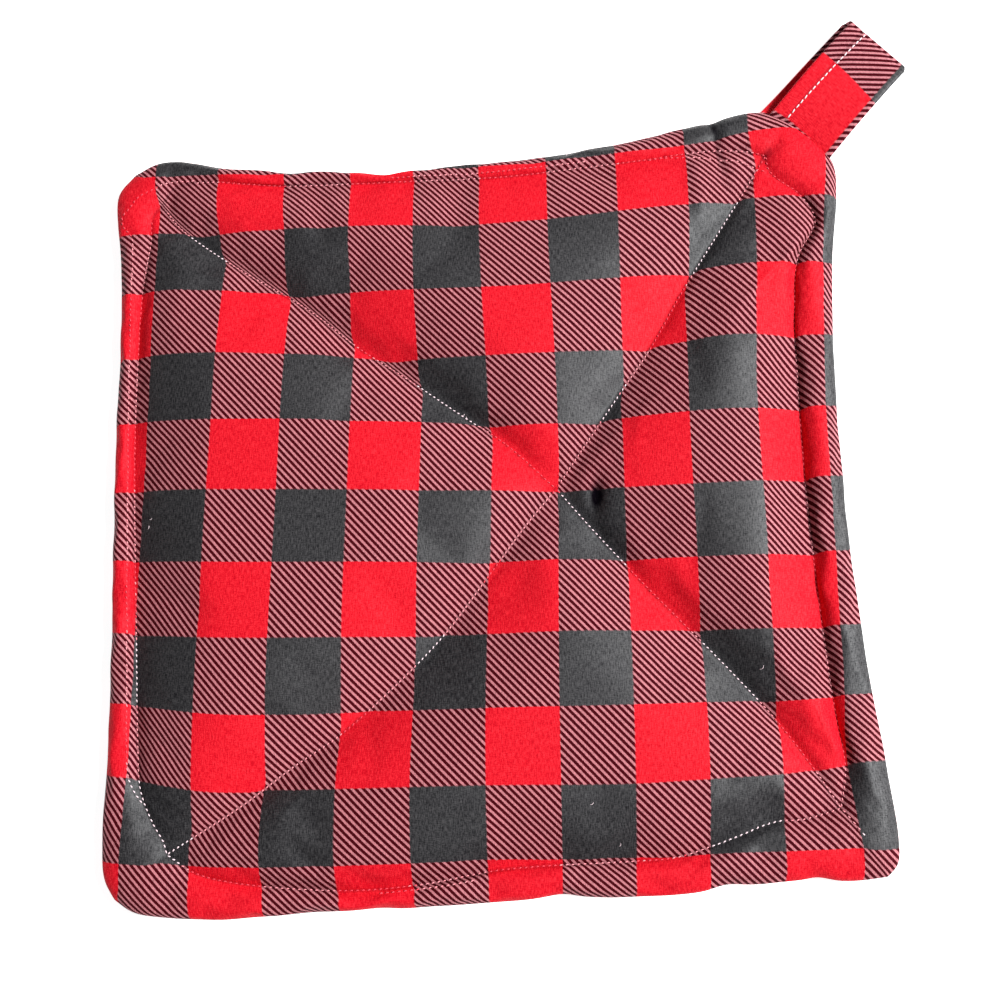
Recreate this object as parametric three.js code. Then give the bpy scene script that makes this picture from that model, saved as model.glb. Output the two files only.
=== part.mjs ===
// Pot holder: a square quilted pad of printed cotton with a hanging loop sewn into one corner.
// Millimetres, +Z up. The pad lies on its back panel. +X runs along the rows of the print,
// +Y up its columns. The origin is the middle of the whole thing at the level it rests on.
import * as THREE from 'three';

// Thicknesses of the quilted pad, front panel up
const CROWN_Z = 13.6; // top of a quilted puff
const SEAM_TOP_Z = 6.4; // front cloth where a seam pulls it down
const SEAM_UNDER_Z = 2.2; // back cloth where a seam pulls it up
const TUBE_Z = 9.4; // top of the border outside the outer seam
const RIM_Z = 4.8; // height of the turned edge
const PUFF_SLOPE = 11; // distance over which a puff swells up from a seam
const UNDER_TROUGH = 8; // half width of the shallow trough under a seam
const TUBE_SLOPE = 2.6; // distance over which the border swells up from the outer seam
const TUBE_FLAT = 0.45; // share of the border's width that lies flat on the back
const TUBE_OVAL = 2.4; // power of the border's oval front: 2 is an ellipse, more is squarer
const SIDE_SLANT = 0.9; // the rays from the crossing meet the outer seam a little aslant

// Hanging loop: one folded strip, doubled back on itself
const CLEARANCE = 0.3; // gap between the turned edge and the loop's two ends
const STRIP_WIDTH = 24.6;
const STRIP_THICK = 1.4;
const LOOP_ROOT = { x: 101.5, y: 120.5 }; // middle of the root, on the turned edge
const LOOP_TIP = { x: 128.3, y: 150.8 }; // middle of the folded end
const LOOP_Z = 4.9; // height of the loop's middle plane
const ROOT_PARTING = 0.9; // each leg's distance from the middle plane at the root
const FOLD_RADIUS = 1.5; // middle of the strip round the folded end
const LEG_SWELL = 2.55; // how far each leg bows out between root and fold
const SWELL_FULLNESS = 0.62; // under 1 keeps the legs apart over most of their length
const REAR_SKEW = { root: 2.4, fold: 0.8 }; // the lower leg shows past the upper one's left edge

// Steps of the surfaces
const SIDE_STEPS = 22; // steps along each side of the pad
const INNER_RINGS = [0.07, 0.16, 0.27, 0.39, 0.51, 0.62, 0.72, 0.8, 0.87, 0.925, 0.965, 1];
const BORDER_RINGS = [0.16, 0.36, 0.56, 0.74, 0.88, 0.97, 1];
const LEG_STEPS = 18;
const FOLD_STEPS = 8;
const END_CROWDING = 0.55; // share of the side steps' spacing that crowds towards the corners
const EDGE_SAMPLES = 80; // places along a side where the loop looks for the turned edge
const EDGE_REACH = 4; // and how far across it looks

// Where the two diagonal seams cross
const CROSSING = [18, 2];

// Each side of the pad, anticlockwise from the lower right corner. Columns are x, y.
// rim is the turned edge, seam the outer row of stitches, both from corner to corner;
// arm is the diagonal seam from the crossing to the corner where the side starts.
const SIDES = [
  {
    // The right side
    rim: [[112.5, -113], [116.2, -105], [113.8, -82], [110.5, -54], [107.4, -10], [106.6, 35],
      [108.6, 80], [110.8, 97], [110.3, 109], [104, 117]],
    seam: [[100, -96], [102, -84], [100, -68], [98, -46], [96, -15], [95, 10], [95, 60],
      [97, 76], [103, 88], [98, 96], [91, 102], [88, 108]],
    arm: [CROSSING, [28, -10], [43, -27], [57, -42], [70, -56], [83, -71], [93, -85], [100, -96]],
  },
  {
    // The top side
    rim: [[104, 117], [96, 123.8], [87, 127.6], [71, 125.2], [45, 119.6], [18, 115], [-8, 113],
      [-35, 111.2], [-62, 113.4], [-90, 115.8], [-112, 117.4], [-120.5, 111.5]],
    seam: [[88, 108], [82, 111.5], [69, 112.5], [50, 111], [25, 109], [3, 107.3], [-30, 107],
      [-70, 107], [-91, 109], [-101, 110], [-108, 108], [-112, 102]],
    arm: [CROSSING, [29, 18], [40, 34], [49, 47], [60, 66], [72, 85], [81, 99], [88, 108]],
  },
  {
    // The left side
    rim: [[-120.5, 111.5], [-127, 104], [-126.8, 88], [-124.8, 65], [-124.2, 20], [-122.4, -45],
      [-122, -80], [-122.2, -106], [-118, -120.5]],
    seam: [[-112, 102], [-115, 92], [-117, 66], [-117.5, 35], [-116.5, 5], [-115, -40],
      [-113, -84], [-109, -95], [-104, -101], [-101, -108]],
    arm: [CROSSING, [2, 17], [-11, 26], [-29, 39], [-45, 50], [-61, 63], [-89, 81], [-106, 94],
      [-112, 102]],
  },
  {
    // The bottom side
    rim: [[-118, -120.5], [-106, -126], [-82, -127], [-56, -125.2], [-22, -124.4], [14, -120.8],
      [49, -120.4], [84, -117], [104, -116.4], [112.5, -113]],
    seam: [[-101, -108], [-93, -113], [-78, -117], [-46, -118.8], [-23, -117], [0, -113],
      [36, -110.5], [60, -108], [68, -104.5], [80, -100.5], [100, -96]],
    arm: [CROSSING, [8, -10], [-4, -26], [-18, -44], [-34, -60], [-49, -73], [-64, -83],
      [-79, -94], [-101, -108]],
  },
];

// Puckers where the turned edge is drawn in. Columns are x, y, depth, reach along the edge.
const PUCKERS = [
  [-40, -125, 1.4, 5], [16, -121, 1.3, 5], [66, -118.5, 1.2, 5], [93, -116.5, 1.4, 4],
  [-70, 114, 1.1, 6], [-37, 111, 1.2, 6],
];

// A smooth curve through the rows of a table, walked by arc length from 0 to 1
function curveThrough(rows) {
  const points = rows.map(([x, y]) => new THREE.Vector3(x, y, 0));
  return new THREE.CatmullRomCurve3(points, false, 'centripetal');
}

// Steps from 0 to 1 that crowd towards both ends, where the diagonal seams run
function crowdedSteps(count) {
  const steps = [];
  for (let i = 0; i < count; i += 1) {
    const even = i / count;
    const eased = (1 - Math.cos(Math.PI * even)) / 2;
    steps.push((1 - END_CROWDING) * even + END_CROWDING * eased);
  }
  return steps;
}

const sides = SIDES.map((side) => ({
  rim: curveThrough(side.rim),
  seam: curveThrough(side.seam),
  arm: curveThrough(side.arm),
}));
const crossing = new THREE.Vector3(CROSSING[0], CROSSING[1], 0);

// How far an arm strays, at a share of its length, from the straight line to its corner
function stray(arm, share) {
  const corner = arm.getPointAt(1);
  return arm.getPointAt(share).sub(crossing.clone().lerp(corner, share));
}

// A point inside the outer seam: the straight ray to the side, bent with the two arms
function insidePoint(index, along, out) {
  const side = sides[index];
  const next = sides[(index + 1) % sides.length];
  const point = crossing.clone().lerp(side.seam.getPointAt(along), out);
  point.addScaledVector(stray(side.arm, out), 1 - along);
  point.addScaledVector(stray(next.arm, out), along);
  return point;
}

// The turned edge, drawn in towards the middle at its puckers
function rimPoint(index, along) {
  const point = sides[index].rim.getPointAt(along);
  const inward = crossing.clone().sub(point).normalize();
  for (const [x, y, depth, reach] of PUCKERS) {
    const distance = Math.hypot(point.x - x, point.y - y) / reach;
    point.addScaledVector(inward, depth * Math.exp(-distance * distance));
  }
  return point;
}

// Distance from a point inside the outer seam to each of its three seams
function seamDistances(index, along, out) {
  const side = sides[index];
  const next = sides[(index + 1) % sides.length];
  const first = side.arm.getPointAt(out);
  const last = next.arm.getPointAt(out);
  const width = first.distanceTo(last) * Math.SQRT1_2;
  const reach = crossing.distanceTo(side.seam.getPointAt(along)) * SIDE_SLANT;
  return [along * width, (1 - along) * width, (1 - out) * reach];
}

// Front cloth: swells from each seam as 1 - exp(-distance / slope), the three multiplied
function frontHeight(distances) {
  const swell = distances.reduce((product, d) => product * (1 - Math.exp(-d / PUFF_SLOPE)), 1);
  return SEAM_TOP_Z + (CROWN_Z - SEAM_TOP_Z) * swell;
}

// Back cloth: flat on the surface, lifted in a parabola over a trough beside each seam
function backHeight(distances) {
  const nearest = Math.min(...distances);
  const lift = Math.max(0, 1 - nearest / UNDER_TROUGH);
  return SEAM_UNDER_Z * lift * lift;
}

// Border front: a quarter oval to the edge, less the dip at the outer seam
function borderFrontHeight(out, width) {
  const oval = Math.sqrt(Math.max(0, 1 - out ** TUBE_OVAL));
  const dip = Math.exp((-out * width) / TUBE_SLOPE) * (1 - out);
  return RIM_Z + (TUBE_Z - RIM_Z) * oval - (TUBE_Z - SEAM_TOP_Z) * dip;
}

// Border back: a trough at the outer seam, a flat band, then a quarter oval to the edge
function borderBackHeight(out, width) {
  const lift = Math.max(0, 1 - (out * width) / (UNDER_TROUGH / 2));
  const curl = Math.max(0, out - TUBE_FLAT) / (1 - TUBE_FLAT);
  return SEAM_UNDER_Z * lift * lift + RIM_Z * (1 - Math.sqrt(1 - curl * curl));
}

// One ring of points round the pad, anticlockwise
function ring(pointAt) {
  const points = [];
  for (let index = 0; index < sides.length; index += 1) {
    for (const along of crowdedSteps(SIDE_STEPS)) points.push(pointAt(index, along));
  }
  return points;
}

function insideRing(out, height) {
  return ring((index, along) => {
    const point = insidePoint(index, along, out);
    point.z = height(seamDistances(index, along, out));
    return point;
  });
}

function borderRing(out, height) {
  return ring((index, along) => {
    const seam = sides[index].seam.getPointAt(along);
    const rim = rimPoint(index, along);
    const point = seam.clone().lerp(rim, out);
    point.z = height(out, seam.distanceTo(rim));
    return point;
  });
}

// Faces of a tube over rings of points, stored one ring after another from the first point
function tubeFaces(ringCount, around, first) {
  const at = (row, step) => first + row * around + (step % around);
  const faces = [];
  for (let row = 0; row < ringCount - 1; row += 1) {
    for (let step = 0; step < around; step += 1) {
      faces.push([at(row, step), at(row + 1, step), at(row + 1, step + 1)]);
      faces.push([at(row, step), at(row + 1, step + 1), at(row, step + 1)]);
    }
  }
  return faces;
}

// A fan from a pole to the ring that starts at a point
function fanFaces(pole, around, first) {
  const steps = Array.from({ length: around }, (_, step) => step);
  return steps.map((step) => [pole, first + step, first + ((step + 1) % around)]);
}

// A flat strip's cut end, laddered across between its upper and its lower face
function cutFaces(around, first) {
  const at = (step) => first + ((step + around) % around);
  const facing = (step) => at(around - 2 - step);
  const faces = [];
  for (let step = -1; step < around / 2 - 1; step += 1) {
    faces.push([at(step), at(step + 1), facing(step)]);
    faces.push([at(step + 1), facing(step + 1), facing(step)]);
  }
  return faces.filter((face) => new Set(face).size === 3);
}

const turned = (faces) => faces.map(([a, b, c]) => [a, c, b]);

function closedBody(points, faces) {
  const geometry = new THREE.BufferGeometry();
  const positions = points.flatMap((p) => [p.x, p.y, p.z]);
  geometry.setAttribute('position', new THREE.Float32BufferAttribute(positions, 3));
  geometry.setIndex(faces.flat());
  return geometry;
}

// The pad: front panel from the crossing out to the edge, back panel from the edge in
function padGeometry() {
  const atCrossing = [0, 0, 0];
  const front = [
    ...INNER_RINGS.map((out) => insideRing(out, frontHeight)),
    ...BORDER_RINGS.map((out) => borderRing(out, borderFrontHeight)),
  ];
  const back = [
    ...INNER_RINGS.map((out) => insideRing(out, backHeight)),
    ...BORDER_RINGS.slice(0, -1).map((out) => borderRing(out, borderBackHeight)),
  ].reverse();
  const rings = [...front, ...back];
  const around = rings[0].length;
  const top = crossing.clone().setZ(frontHeight(atCrossing));
  const under = crossing.clone().setZ(backHeight(atCrossing));
  const points = [...rings.flat(), top, under];
  return closedBody(points, [
    ...fanFaces(points.length - 2, around, 0),
    ...tubeFaces(rings.length, around, 0),
    ...turned(fanFaces(points.length - 1, around, (rings.length - 1) * around)),
  ]);
}

// Loop directions: along the strip from root to fold, and across it to the right
const loopRoot = new THREE.Vector3(LOOP_ROOT.x, LOOP_ROOT.y, 0);
const loopRun = new THREE.Vector3(LOOP_TIP.x, LOOP_TIP.y, 0).sub(loopRoot);
const loopLength = loopRun.length();
const alongLoop = loopRun.clone().normalize();
const acrossLoop = new THREE.Vector3(alongLoop.y, -alongLoop.x, 0);

// How far along the loop the turned edge reaches at a place across it
function edgeReach(across) {
  const samples = [];
  for (let index = 0; index < 2; index += 1) {
    for (let step = 0; step <= EDGE_SAMPLES; step += 1) {
      const offset = rimPoint(index, step / EDGE_SAMPLES).sub(loopRoot);
      samples.push({ across: offset.dot(acrossLoop), along: offset.dot(alongLoop) });
    }
  }
  const nearby = samples.filter((s) => Math.abs(s.across - across) < EDGE_REACH);
  return Math.max(...nearby.map((s) => s.along)) + CLEARANCE;
}

// Outline of the strip's section: across and up, rounded at its two folded edges
function stripSection() {
  const half = STRIP_WIDTH / 2;
  const thick = STRIP_THICK / 2;
  const flat = half - thick;
  const across = [-flat, -flat / 2, 0, flat / 2, flat];
  const upper = across.map((a) => [a, thick]);
  const lower = across.map((a) => [-a, -thick]);
  return [...upper, [half, 0], ...lower, [-half, 0]];
}

// Middle line of the doubled strip: lower leg out, round the fold, upper leg back.
// Each leg bows out by swell * sin(pi * share) ^ fullness.
function loopStations() {
  const straight = loopLength - FOLD_RADIUS;
  const stations = [];
  const legStation = (share, side) => {
    const bow = LEG_SWELL * Math.sin(Math.PI * share) ** SWELL_FULLNESS;
    const parting = ROOT_PARTING + (FOLD_RADIUS - ROOT_PARTING) * share;
    return { share, along: straight, rise: side * (parting + bow) };
  };
  for (let i = 0; i < LEG_STEPS; i += 1) stations.push(legStation(i / LEG_STEPS, -1));
  for (let i = 0; i <= FOLD_STEPS; i += 1) {
    const angle = Math.PI * (i / FOLD_STEPS - 0.5);
    const rise = FOLD_RADIUS * Math.sin(angle);
    stations.push({ share: 1, along: straight + FOLD_RADIUS * Math.cos(angle), rise });
  }
  for (let i = LEG_STEPS - 1; i >= 0; i -= 1) stations.push(legStation(i / LEG_STEPS, 1));
  return stations;
}

// Section of the strip at a station: its thickness stands square to the middle line,
// and upright at the two cut ends
function loopRing(stations, index) {
  const here = stations[index];
  const before = stations[Math.max(0, index - 1)];
  const after = stations[Math.min(stations.length - 1, index + 1)];
  const place = (station, across) => {
    const start = edgeReach(across);
    return station.share < 1 ? start + (station.along - start) * station.share : station.along;
  };
  const run = place(after, 0) - place(before, 0);
  const climb = after.rise - before.rise;
  const lean = here.share > 0 ? climb / Math.hypot(run, climb) : 0;
  const upright = Math.sign(run) * Math.sqrt(1 - lean * lean);
  const lowerLeg = index < stations.length / 2 ? 1 : 0;
  const skew = lowerLeg * (REAR_SKEW.root + (REAR_SKEW.fold - REAR_SKEW.root) * here.share);
  return stripSection().map(([across, up]) => {
    const sideways = across - skew;
    const along = place(here, sideways) + lean * up;
    const point = loopRoot.clone();
    point.addScaledVector(alongLoop, along);
    point.addScaledVector(acrossLoop, sideways);
    point.z = LOOP_Z + here.rise - upright * up;
    return point;
  });
}

// The loop: the section carried along the middle line, closed by its two cut ends
function loopGeometry() {
  const stations = loopStations();
  const rings = stations.map((station, index) => loopRing(stations, index));
  const around = rings[0].length;
  return closedBody(rings.flat(), [
    ...cutFaces(around, 0),
    ...tubeFaces(rings.length, around, 0),
    ...turned(cutFaces(around, (rings.length - 1) * around)),
  ]);
}

function clothPiece(name, geometry, colour, roughness) {
  const material = new THREE.MeshStandardMaterial({ color: colour, roughness, metalness: 0 });
  geometry.computeVertexNormals();
  const mesh = new THREE.Mesh(geometry, material);
  mesh.name = name;
  return mesh;
}

const holder = new THREE.Group();
holder.add(clothPiece('pad', padGeometry(), 0xb01f2e, 0.85));
holder.add(clothPiece('loop', loopGeometry(), 0xc02030, 0.85));

// Bring the origin to the middle of the pot holder's box, at the level it rests on
const box = new THREE.Box3().setFromObject(holder);
const centre = box.getCenter(new THREE.Vector3());
for (const piece of holder.children) piece.position.set(-centre.x, -centre.y, -box.min.z);

export default holder;
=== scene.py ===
"""A quilted pot holder: a square padded pad of buffalo-check cotton with a hanging loop at one corner."""

import math

import bpy
import numpy as np
from mathutils import Matrix, Vector
from mathutils.bvhtree import BVHTree


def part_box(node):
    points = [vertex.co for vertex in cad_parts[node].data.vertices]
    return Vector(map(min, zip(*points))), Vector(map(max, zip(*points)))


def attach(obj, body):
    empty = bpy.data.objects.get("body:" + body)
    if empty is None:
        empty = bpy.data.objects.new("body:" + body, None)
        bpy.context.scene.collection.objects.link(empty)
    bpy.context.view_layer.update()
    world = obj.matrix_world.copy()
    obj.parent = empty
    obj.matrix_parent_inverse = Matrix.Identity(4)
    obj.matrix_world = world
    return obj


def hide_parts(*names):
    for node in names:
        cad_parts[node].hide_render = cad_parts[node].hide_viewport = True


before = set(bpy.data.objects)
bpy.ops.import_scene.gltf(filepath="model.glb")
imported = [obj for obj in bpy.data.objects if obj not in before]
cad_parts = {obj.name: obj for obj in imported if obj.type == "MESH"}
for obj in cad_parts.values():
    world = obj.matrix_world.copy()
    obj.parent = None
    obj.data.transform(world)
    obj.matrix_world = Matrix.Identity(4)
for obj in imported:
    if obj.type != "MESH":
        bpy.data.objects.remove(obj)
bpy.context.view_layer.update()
scene = bpy.context.scene


# The pad's outline and seams
# The pad is cut square and comes out of the quilting a little crooked. The rim is the turned
# edge, the seam the outer row of topstitching, and each arm a diagonal row from the crossing.
# Tables are in millimetres on the cutting table; columns are x, y, anticlockwise from lower right.
CROSSING = (18, 2)
RIM_ROWS = (
    ((112.4, -115.6), (115.7, -111.8), (116.4, -105), (114.2, -84), (110.5, -54), (107.4, -10),
     (106.6, 35), (108.6, 80), (110.8, 97), (110.3, 109), (104, 117)),
    ((104, 117), (96, 123.8), (87, 127.2), (71, 124.4), (45, 118.8), (18, 114.8), (-8, 113),
     (-35, 111.2), (-62, 112.6), (-90, 115), (-112.5, 118.3), (-122.3, 114)),
    ((-122.3, 114), (-127.8, 106), (-126.2, 88), (-124.6, 65), (-124.2, 20), (-122.4, -45),
     (-122, -80), (-122.3, -105), (-121, -115.5), (-117.6, -121.4)),
    ((-117.6, -121.4), (-112, -125), (-103, -126.6), (-82, -127), (-56, -125), (-22, -123.6),
     (14, -121.2), (49, -120.6), (84, -116.8), (104, -116.6), (112.4, -115.6)),
)
SEAM_ROWS = (
    ((100, -96), (102, -84), (100, -68), (98, -46), (96, -15), (95, 10), (95, 60),
     (97, 76), (103, 88), (98.5, 97), (92.5, 102), (89.2, 105.6), (88.3, 110.8)),
    ((88.3, 110.8), (83, 112.3), (72, 113.2), (61, 112.5), (50, 111.2), (25, 109), (3, 107.3),
     (-30, 107), (-70, 107.2), (-84, 108.5), (-96, 109.7), (-108, 108), (-112, 102)),
    ((-112, 102), (-115, 98), (-115.4, 88), (-117.4, 72), (-118, 42), (-117.6, 15), (-116.4, -10),
     (-114.3, -43), (-112.4, -74), (-110.8, -89), (-106.5, -99), (-103, -104.5), (-101.8, -108.2)),
    ((-101.8, -108.2), (-93.3, -113.4), (-80, -116.6), (-46, -118.8), (-23, -117), (0, -113),
     (36, -110.9), (51, -109.8), (61.3, -106.8), (71.7, -103), (77, -100.8), (82.5, -99.4), (89, -99.1),
     (100, -96)),
)
ARM_ROWS = (
    (CROSSING, (28, -10), (43, -27), (57, -42), (70, -56), (83, -71), (93, -85), (100, -96)),
    (CROSSING, (29, 18), (40, 34), (49, 47), (60, 66), (72, 85), (81, 99), (88.3, 110.8)),
    (CROSSING, (2, 17), (-11, 26), (-29, 39), (-45, 50), (-61, 63), (-89, 81), (-106, 94), (-112, 102)),
    (CROSSING, (8, -10), (-4, -26), (-18, -44), (-34, -60), (-49, -73), (-64, -83), (-79, -94),
     (-101.8, -108.2)),
)
CURVE_STEPS = 40  # fine steps between two rows of a table


def unit(vectors):
    """The directions of vectors."""
    return vectors / np.linalg.norm(vectors, axis=-1, keepdims=True)


def with_lengths(points):
    """Points in a row, and how far along the row each lies."""
    return points, np.append(0, np.cumsum(np.linalg.norm(np.diff(points, axis=0), axis=1)))


def smooth_curve(rows):
    """Centripetal Catmull-Rom curve through the rows: between two rows it is the cubic whose end
    tangents are t1 = (b-a)/s0 - (c-a)/(s0+s1) + (c-b)/s1, with s the square root of each chord."""
    rows = np.array(rows, float)
    points = np.vstack([2 * rows[0] - rows[1], rows, 2 * rows[-1] - rows[-2]])
    spans = np.sqrt(np.linalg.norm(np.diff(points, axis=0), axis=1))
    t = np.linspace(0, 1, CURVE_STEPS, endpoint=False)[:, None]
    pieces = []
    for k in range(1, len(points) - 2):
        a, b, c, d = points[k - 1 : k + 3]
        s0, s1, s2 = spans[k - 1 : k + 2]
        out = ((b - a) / s0 - (c - a) / (s0 + s1) + (c - b) / s1) * s1
        into = ((c - b) / s1 - (d - b) / (s1 + s2) + (d - c) / s2) * s1
        cubic = 2 * b - 2 * c + out + into
        square = -3 * b + 3 * c - 2 * out - into
        pieces.append(cubic * t**3 + square * t**2 + out * t + b)
    return with_lengths(np.vstack(pieces + [points[-2:-1]]))


def walk(curve, share):
    """Points at a share, 0 to 1, of a curve's arc length."""
    fine, walked = curve
    place = np.asarray(share) * walked[-1]
    return np.stack([np.interp(place, walked, fine[:, k]) for k in range(fine.shape[1])], -1)


RIMS, SEAMS, ARMS = ([smooth_curve(rows) for rows in table] for table in (RIM_ROWS, SEAM_ROWS, ARM_ROWS))
crossing = np.array(CROSSING, float)

# The cutting table's zero sits off the middle of the box that the frame is centred on
MM = 0.001
rim_low = np.vstack([rim[0] for rim in RIMS]).min(0)
pad_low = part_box("pad")[0]
TABLE_ZERO = np.array([pad_low.x / MM - rim_low[0], pad_low.y / MM - rim_low[1], 0])


def in_frame(points):
    """From millimetres on the cutting table to metres in the frame."""
    return (np.asarray(points, float) + TABLE_ZERO) * MM


# The camera
# It looks down from about twelve degrees off the vertical, a little from the lower right.
CAMERA_SIDE = math.radians(18)  # turned from the pad's lower edge towards its right one
CAMERA_TILT = math.radians(11.9)
CAMERA_ROLL = math.radians(-0.59)
CAMERA_DISTANCE = 398.5
FOCAL_SHARE = 1.25  # focal length over the picture's width


def look(side, tilt, roll):
    """Right, up and back directions of a camera that stands on the side's bearing."""
    back = np.array([math.sin(side) * math.sin(tilt), -math.cos(side) * math.sin(tilt), math.cos(tilt)])
    right = unit(np.cross((0, 1, 0), back))
    up = np.cross(back, right)
    turned_right = math.cos(roll) * right + math.sin(roll) * up
    turned_up = math.cos(roll) * up - math.sin(roll) * right
    return turned_right, turned_up, back


def new_object(name, data):
    """An object at the origin of the scene."""
    made = bpy.data.objects.new(name, data)
    scene.collection.objects.link(made)
    return made


camera_data = bpy.data.cameras.new("camera")
camera = scene.camera = new_object("camera", camera_data)
camera_data.sensor_width = 36
camera_data.lens = camera_data.sensor_width * FOCAL_SHARE
camera_axes = look(CAMERA_SIDE, CAMERA_TILT, CAMERA_ROLL)
camera_place = in_frame(camera_axes[2] * CAMERA_DISTANCE)
camera_matrix = np.eye(4)
camera_matrix[:3, :3] = np.stack(camera_axes, 1)
camera_matrix[:3, 3] = camera_place
camera.matrix_world = Matrix(camera_matrix.tolist())


# The pad
# Two squares of printed cotton with batting between, sewn round, turned right side out,
# quilted corner to corner and topstitched inside the edge. The back lies flat on the table.
CROWN_Z = 11.8
SEAM_TOP_Z = 5.2
SEAM_UNDER_Z = 2.2
RIM_Z = 4.8

# How high the border's top stands, and how far the outer seam lies above SEAM_TOP_Z, at each corner
# and the middle of each side, anticlockwise from the lower right corner round to it again
TUBE_TOPS = (9.6, 10.2, 10.2, 8.6, 9.2, 9.6, 9.4, 9.4, 9.6)
SEAM_RISES = (0.3, 0, 2.2, 1.7, 1.2, 0.4, 0.5, 0.4, 0.3)
PUFF_SLOPE = 6.0  # how far from a seam a puff still climbs
UNDER_TROUGH = 8  # half width of the hollow under a seam
TUBE_SLOPE = 0.3  # of the border's width
TUBE_FLAT = 0.45  # share of the border that lies flat underneath
TUBE_OVAL = 2.4  # power of its round top, 2 for an ellipse
SIDE_SLANT = 0.9  # distance to a side seam over the distance outwards to it
SEAM_LEVELS = 42  # grid steps from the crossing to the outer seam
RIM_LEVELS = 55  # and on to the turned edge
DIAGONAL_CROWDING = 0.6  # how much closer the grid lies beside the arms
SEAM_CROWDING = 1.3  # beside the outer seam
RIM_CROWDING = 1.5  # and beside the rim
RIM_CROWDING_SHARE = 0.5  # the rest is crowded to seam and rim alike
SEAM_RISE_POWER = 6  # how late a diagonal row climbs to the outer seam
ARM_SINE = math.sqrt(0.5)  # of the angle between an arm and the line to the next arm

# Unevenness of the cloth: each is a height, a wavelength and a seed
RIM_WAVER = (0.28, 9, 5)
SOFT_LUMPS = (0.4, 55, 11)
SMALL_LUMPS = (0.08, 19, 12)
SEAM_PUCKERS = (0.16, 6.5, 13)
BORDER_RIPPLES = (0.2, 8, 14)
BACK_PUCKERS = (0.25, 7, 21)  # its height is a share of the trough's depth
PUCKERS_OFF_SEAM = 2.5
PUCKERS_REACH = 3

# Where the turned edge is drawn in. Columns are x, y, depth, reach.
RIM_PUCKERS = (
    (-36, -125, 0.6, 5), (18, -121.6, 1.0, 4), (66, -119.5, 1.2, 5), (93, -117.5, 1.4, 4),
    (-70, 113, 1.1, 6), (-37, 111, 1.0, 6), (72, 124, 0.5, 3),
)

# Creases pressed into the front. Columns are x, y of the middle, bearing in degrees,
# half length, half width, and height (negative is a trough).
CREASES = (
    (30.4, -1, 88, 5, 2, -3.4),  # short pucker beside the crossing
    (-110, 101, 85, 11, 1.8, -1.4),  # pleat in the upper left corner
    (90, 112, 60, 5, 2.2, -1.2),  # pleat where the loop's corner is caught
    (72.5, 115, 97, 12, 1.5, -2),  # fold across the top seam beside it
    (66, 103, 97, 10, 3, 0.9),
    (79, 104, 97, 8, 3, 0.6),
    (-12, 97, 80, 10, 4, -0.9),
    (-103, -97, 120, 9, 2.5, -0.5),  # fold at the lower left corner
    (84, -96, 15, 14, 2.5, -0.9),  # fold above the lower right seam
    (-58, 96, 100, 9, 3.5, -0.4),
    (80, -2, 90, 34, 15, 1.3),  # the batting is fuller near the right side
)
CREASE_OFF_SEAM = 2  # creases fade within this distance of a seam
CREASE_ON_BORDER = 3  # and are whole one part in this many across the border

LATTICE = 97  # cells each way before the noise repeats
LATTICE_MIDDLE = (48.37, 48.71)


def lattice_noise(places, layer):
    """Random values on a square lattice, eased between by 3t^2 - 2t^3. A layer is a height, a
    wavelength and a seed."""
    height, wavelength, seed = layer
    values = np.random.default_rng(seed).uniform(-1, 1, (LATTICE, LATTICE))
    spots = places / wavelength + np.array(LATTICE_MIDDLE)
    cell = np.floor(spots).astype(int)
    t = spots - cell
    fx, fy = np.moveaxis(t * t * (3 - 2 * t), -1, 0)

    def value(*step):
        return values[tuple(np.moveaxis((cell + step) % LATTICE, -1, 0))]

    near = value(0, 0) * (1 - fx) + value(1, 0) * fx
    far = value(0, 1) * (1 - fx) + value(1, 1) * fx
    return height * (near * (1 - fy) + far * fy)


def stray(arm, share):
    """How far an arm strays from the straight line between the crossing and its corner."""
    share = np.asarray(share)
    straight = crossing + share[..., None] * (walk(arm, 1.0) - crossing)
    return walk(arm, share) - straight


def rim_at(side, along):
    """The turned edge, wavy and drawn in by depth * exp(-(distance / reach)^2) at its puckers."""
    point = walk(RIMS[side], along)
    inward = unit(crossing - point)
    for x, y, depth, reach in RIM_PUCKERS:
        distance = np.hypot(point[..., 0] - x, point[..., 1] - y) / reach
        point = point + inward * (depth * np.exp(-(distance**2)))[..., None]
    return point + inward * lattice_noise(point, RIM_WAVER)[..., None]


def grid_places(column, row):
    """Side, share along it and level of each point of the square grid: level is the larger of
    |column| and |row|, and the share runs from corner to corner of that level's square."""
    level = np.maximum(abs(column), abs(row))
    safe = np.maximum(level, 1)
    right = (column == level) & (row < level)
    top = (row == level) & (column > -level)
    left = (column == -level) & (row > -level)
    side = np.select([right, top, left], [0, 1, 2], 3)
    run = np.select([right, top, left], [row, -column, -row], column)
    share = (run / safe + 1) / 2
    share = (1 - DIAGONAL_CROWDING) * share + DIAGONAL_CROWDING * (1 - np.cos(np.pi * share)) / 2
    return side, share, level


grid_steps = np.arange(-RIM_LEVELS, RIM_LEVELS + 1)
grid_size = len(grid_steps)
grid_column, grid_row = np.meshgrid(grid_steps, grid_steps)
side_of, along_of, level_of = grid_places(grid_column, grid_row)
inside = level_of <= SEAM_LEVELS
out_of = 1 - (1 - np.minimum(level_of, SEAM_LEVELS) / SEAM_LEVELS) ** SEAM_CROWDING
border_step = np.clip((level_of - SEAM_LEVELS) / (RIM_LEVELS - SEAM_LEVELS), 0, 1)
border_of = RIM_CROWDING_SHARE * (1 - (1 - border_step) ** RIM_CROWDING)
border_of += (1 - RIM_CROWDING_SHARE) * (1 - np.cos(np.pi * border_step)) / 2


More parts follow.
